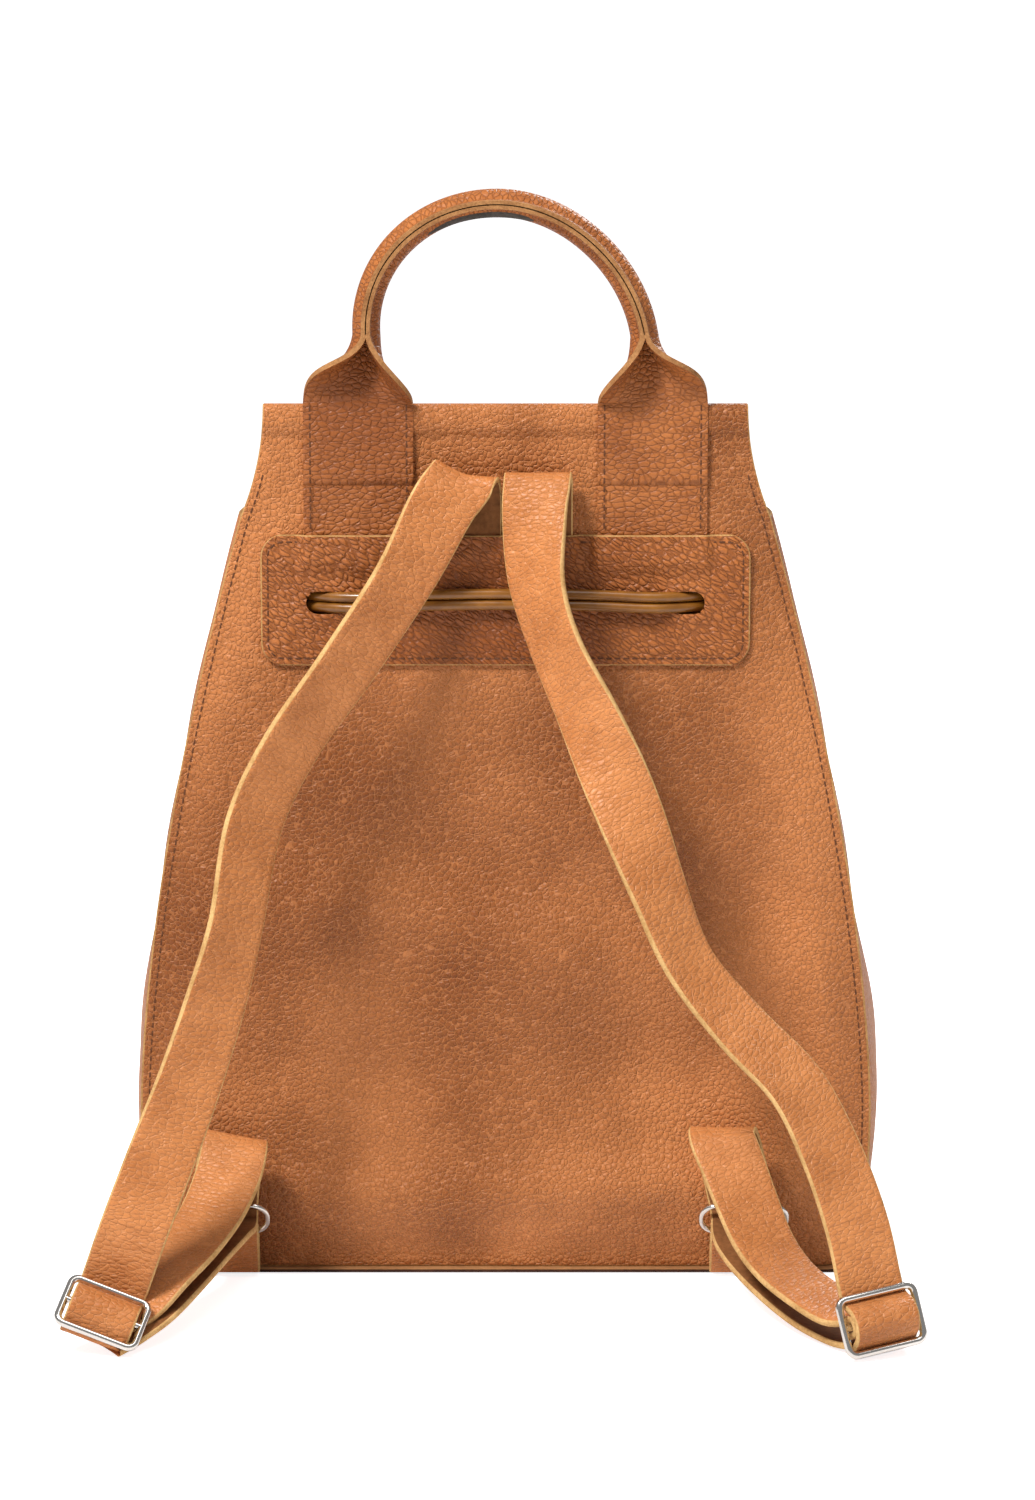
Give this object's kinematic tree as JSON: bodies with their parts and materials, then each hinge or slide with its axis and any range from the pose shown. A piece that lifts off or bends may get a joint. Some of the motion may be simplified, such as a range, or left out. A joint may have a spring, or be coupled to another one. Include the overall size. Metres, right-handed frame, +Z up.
{
  "type": "backpack",
  "caption": "Upright flap backpack in pebbled leather, with a grab handle, a drawstring mouth and slim shoulder straps on sliders.",
  "frame": {"origin": "on the ground, under the middle of the bag's base", "axes": "+Z up, -Y towards the wearer's back, +Y towards the flap, +X to the right when the wearer's side is looked at"},
  "size_m": [0.3534, 0.2556, 0.462],
  "materials": {
    "body_leather": "satin pebbled grain, cognac tan, mottled",
    "patch_leather": "satin coarse pebbled grain, cognac tan",
    "strap_leather": "satin fine grain, lighter tan, raw edges",
    "lace": "glossy stitched leather cord, golden brown",
    "lining": "matt woven cotton lining",
    "core": "matt filler cord",
    "nickel": "polished nickel"
  },
  "bodies": {
    "bag": {"base_panel": "body_leather", "front_panel": "body_leather", "left_gusset": "body_leather", "right_gusset": "body_leather", "back_panel": "body_leather", "neck_lining": "lining", "back_patch": "patch_leather", "snap_socket": "nickel", "left_handle_tab": "patch_leather", "right_handle_tab": "patch_leather", "left_ring_tab": "strap_leather", "right_ring_tab": "strap_leather", "left_shoulder_strap": "strap_leather", "right_shoulder_strap": "strap_leather", "drawstring": "lace", "left_drawstring_tail": "lace", "right_drawstring_tail": "lace", "drawstring_slide": "strap_leather", "drawstring_knots": "lace"},
    "flap": {"flap": "body_leather", "flap_lining": "lining", "snap_stud": "nickel"},
    "handle": {"handle": "patch_leather", "handle_core": "core"},
    "left_ring": {"left_ring": "nickel"},
    "right_ring": {"right_ring": "nickel"},
    "left_slider": {"left_slider": "nickel"},
    "right_slider": {"right_slider": "nickel"}
  },
  "joints": [
    {"name": "flap_open", "type": "hinge", "parent": "bag", "child": "flap", "pos_m": [0, -0.0574, 0.361], "axis": [1, 0, 0], "range_deg": [0, 105]},
    {"name": "handle_tilt", "type": "hinge", "parent": "bag", "child": "handle", "pos_m": [0, -0.0658, 0.3762], "axis": [1, 0, 0], "range_deg": [-20, 70]},
    {"name": "left_ring_swing", "type": "hinge", "parent": "bag", "child": "left_ring", "pos_m": [-0.119, -0.0735, 0.022], "axis": [1, 0, 0], "range_deg": [-10, 10]},
    {"name": "right_ring_swing", "type": "hinge", "parent": "bag", "child": "right_ring", "pos_m": [0.101, -0.0735, 0.022], "axis": [1, 0, 0], "range_deg": [-10, 10]},
    {"name": "left_slider_slide", "type": "slide", "parent": "bag", "child": "left_slider", "axis": [0.3471, 0.2371, 0.9074], "range_m": [0, 0.03], "deforming": ["left_shoulder_strap"]},
    {"name": "right_slider_slide", "type": "slide", "parent": "bag", "child": "right_slider", "axis": [-0.283, 0.297, 0.912], "range_m": [0, 0.03], "deforming": ["right_shoulder_strap"]}
  ]
}
